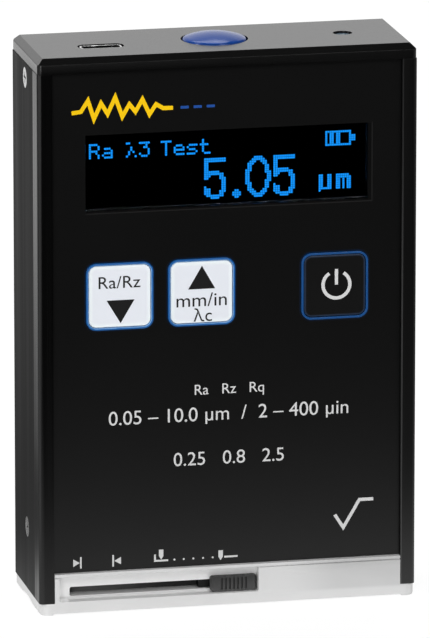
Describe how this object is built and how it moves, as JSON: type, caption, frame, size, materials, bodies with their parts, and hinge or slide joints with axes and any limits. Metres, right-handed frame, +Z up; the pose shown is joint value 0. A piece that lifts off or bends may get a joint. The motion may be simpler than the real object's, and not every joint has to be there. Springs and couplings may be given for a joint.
{
  "type": "surface roughness tester",
  "caption": "Pocket surface roughness tester: slim upright black box with a display strip, square keys, a round start button on top and a metal base whose slider parks the stylus pick-up.",
  "frame": {"origin": "Centre of the outline on the plane of the corner pads.", "axes": "+Z up, +X to the right seen from the front, -Y out of the front panel."},
  "size_m": [0.07, 0.024, 0.1041],
  "materials": {
    "black_anodised": "satin black anodised, fine lines along the extrusion",
    "cap_grey": "fine satin black moulding",
    "film_black": "satin black printed film",
    "pane": "clear gloss pane",
    "display_black": "black glass panel with lit blue dots",
    "carrier_white": "white moulding",
    "rim_blue": "translucent blue gloss",
    "key_white": "satin white",
    "board_green": "green laminate",
    "chip_black": "matt black moulding",
    "bright_steel": "bright plated steel",
    "lamp_clear": "milky lamp body",
    "cell_wrap": "foil pouch",
    "tape_white": "foam tape",
    "button_blue": "translucent blue moulding",
    "base_metal": "fine satin bead-blasted metal",
    "knob_grey": "dark grey moulding",
    "plain_metal": "plain milled metal",
    "black_steel": "blackened steel",
    "brass": "turned brass",
    "carriage_blue": "low-friction moulding",
    "ruby": "polished ruby",
    "diamond": "polished diamond"
  },
  "bodies": {
    "body": {"housing": "black_anodised", "front_plate": "black_anodised", "front_overlay": "film_black", "display_lens": "pane", "display_module": "display_black", "display_carrier": "carrier_white", "key_bezels": "rim_blue", "main_board": "board_green", "board_chips": "chip_black", "key_switches": "bright_steel", "start_switch": "bright_steel", "usb_socket": "bright_steel", "usb_tongue": "chip_black", "indicator_led": "lamp_clear", "battery": "cell_wrap", "battery_tape": "tape_white", "top_cap": "cap_grey", "side_screws": "bright_steel", "base": "base_metal", "bar_guide": "chip_black", "drive_frame": "plain_metal", "frame_screws": "bright_steel", "guide_rods": "bright_steel", "screw_bush": "brass", "gearbox": "brass", "drive_motor": "plain_metal"},
    "key_down": {"key_down": "key_white"},
    "key_up": {"key_up": "key_white"},
    "key_power": {"key_power": "film_black"},
    "start_button": {"start_button": "button_blue"},
    "slider": {"slider_knob": "knob_grey", "slide_bar": "black_steel", "slider_screws": "bright_steel"},
    "carriage": {"carriage": "carriage_blue", "drive_nut": "brass", "hinge_pin": "bright_steel", "pressure_spring": "brass"},
    "lead_screw": {"lead_screw": "bright_steel", "coupling_sleeve": "brass", "motor_shaft": "bright_steel"},
    "pickup": {"pickup_lever": "plain_metal", "lift_pin": "bright_steel", "skid": "ruby"},
    "stylus": {"stylus_arm": "bright_steel", "diamond_tip": "diamond"}
  },
  "joints": [
    {"name": "key_down_press", "type": "slide", "parent": "body", "child": "key_down", "axis": [0, 1, 0], "range_m": [0, 0.0004], "stiffness_N_per_m": 1500, "springref_m": -0.0003},
    {"name": "key_up_press", "type": "slide", "parent": "body", "child": "key_up", "axis": [0, 1, 0], "range_m": [0, 0.0004], "stiffness_N_per_m": 1500, "springref_m": -0.0003},
    {"name": "key_power_press", "type": "slide", "parent": "body", "child": "key_power", "axis": [0, 1, 0], "range_m": [0, 0.0004], "stiffness_N_per_m": 1500, "springref_m": -0.0003},
    {"name": "start_press", "type": "slide", "parent": "body", "child": "start_button", "axis": [0, 0, -1], "range_m": [0, 0.0006], "stiffness_N_per_m": 1500, "springref_m": -0.0003},
    {"name": "slider_slide", "type": "slide", "parent": "body", "child": "slider", "axis": [-1, 0, 0], "range_m": [0, 0.0253]},
    {"name": "traverse_slide", "type": "slide", "parent": "body", "child": "carriage", "axis": [-1, 0, 0], "range_m": [0, 0.006]},
    {"name": "lead_screw_turn", "type": "hinge", "parent": "body", "child": "lead_screw", "pos_m": [0, 0.00483, 0.012], "axis": [1, 0, 0], "range_deg": [0, 1080]},
    {"name": "pickup_lift", "type": "hinge", "parent": "carriage", "child": "pickup", "pos_m": [0.00495, 0, 0.008], "axis": [0, 1, 0], "range_deg": [0, 9], "deforming": ["pressure_spring"]},
    {"name": "stylus_deflect", "type": "hinge", "parent": "pickup", "child": "stylus", "pos_m": [-0.00665, 0, 0.0047], "axis": [0, 1, 0], "range_deg": [-1.5, 1.5], "stiffness_Nm_per_rad": 0.001}
  ],
  "couplings": [
    {"joint": "lead_screw_turn", "follows": "traverse_slide", "rad_per_m": 3141},
    {"joint": "pickup_lift", "follows": "slider_slide", "rad_per_m": 6.2}
  ]
}
